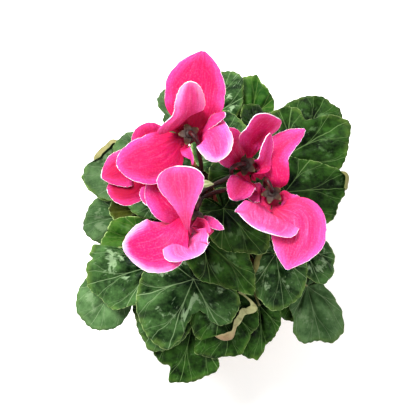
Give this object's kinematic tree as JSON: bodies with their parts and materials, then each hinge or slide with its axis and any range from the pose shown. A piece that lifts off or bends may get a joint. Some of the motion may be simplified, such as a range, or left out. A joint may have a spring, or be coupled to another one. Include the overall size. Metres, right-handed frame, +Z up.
{
  "type": "potted cyclamen",
  "caption": "House plant in a plain clay pot: a dome of heart-shaped marbled leaves under nodding pink flowers with swept-back, white-edged petals.",
  "frame": {"origin": "centre of the pot's underside, on the surface that the pot stands on", "axes": "+Z up along the pot's axis; +X to the right and +Y away from the viewer as the plant is seen from above and in front"},
  "size_m": [0.2373, 0.2745, 0.2664],
  "materials": {
    "clay": "matte fired clay",
    "soil": "rough and dry",
    "tuber": "corky and rough",
    "leaf": "leathery, with silver-green marbling",
    "petal": "soft, with a white margin",
    "sepal": "soft, downy",
    "stalk": "satin",
    "bud": "satin"
  },
  "bodies": {
    "root": {"pot": "clay", "soil": "soil", "tuber": "tuber", "leaf_01": "leaf", "leaf_02": "leaf", "leaf_03": "leaf", "leaf_04": "leaf", "leaf_05": "leaf", "leaf_06": "leaf", "leaf_07": "leaf", "leaf_08": "leaf", "leaf_09": "leaf", "leaf_10": "leaf", "leaf_11": "leaf", "leaf_12": "leaf", "leaf_13": "leaf", "leaf_14": "leaf", "leaf_15": "leaf", "leaf_16": "leaf", "leaf_17": "leaf", "leaf_18": "leaf", "leaf_19": "leaf", "leaf_20": "leaf", "leaf_21": "leaf", "leaf_22": "leaf", "leaf_23": "leaf", "leaf_24": "leaf", "leaf_25": "leaf", "leaf_26": "leaf", "leaf_27": "leaf", "leaf_28": "leaf", "leaf_29": "leaf", "leaf_30": "leaf", "leaf_31": "leaf", "leaf_32": "leaf", "bloom_1_petals": "petal", "bloom_1_calyx": "sepal", "bloom_1_stalk": "stalk", "bloom_2_petals": "petal", "bloom_2_calyx": "sepal", "bloom_2_stalk": "stalk", "bloom_3_petals": "petal", "bloom_3_calyx": "sepal", "bloom_3_stalk": "stalk", "bloom_4_petals": "petal", "bloom_4_calyx": "sepal", "bloom_4_stalk": "stalk", "bloom_5_petals": "petal", "bloom_5_calyx": "sepal", "bloom_5_stalk": "stalk", "bud": "bud", "bud_calyx": "sepal", "bud_stalk": "stalk"}
  },
  "joints": []
}
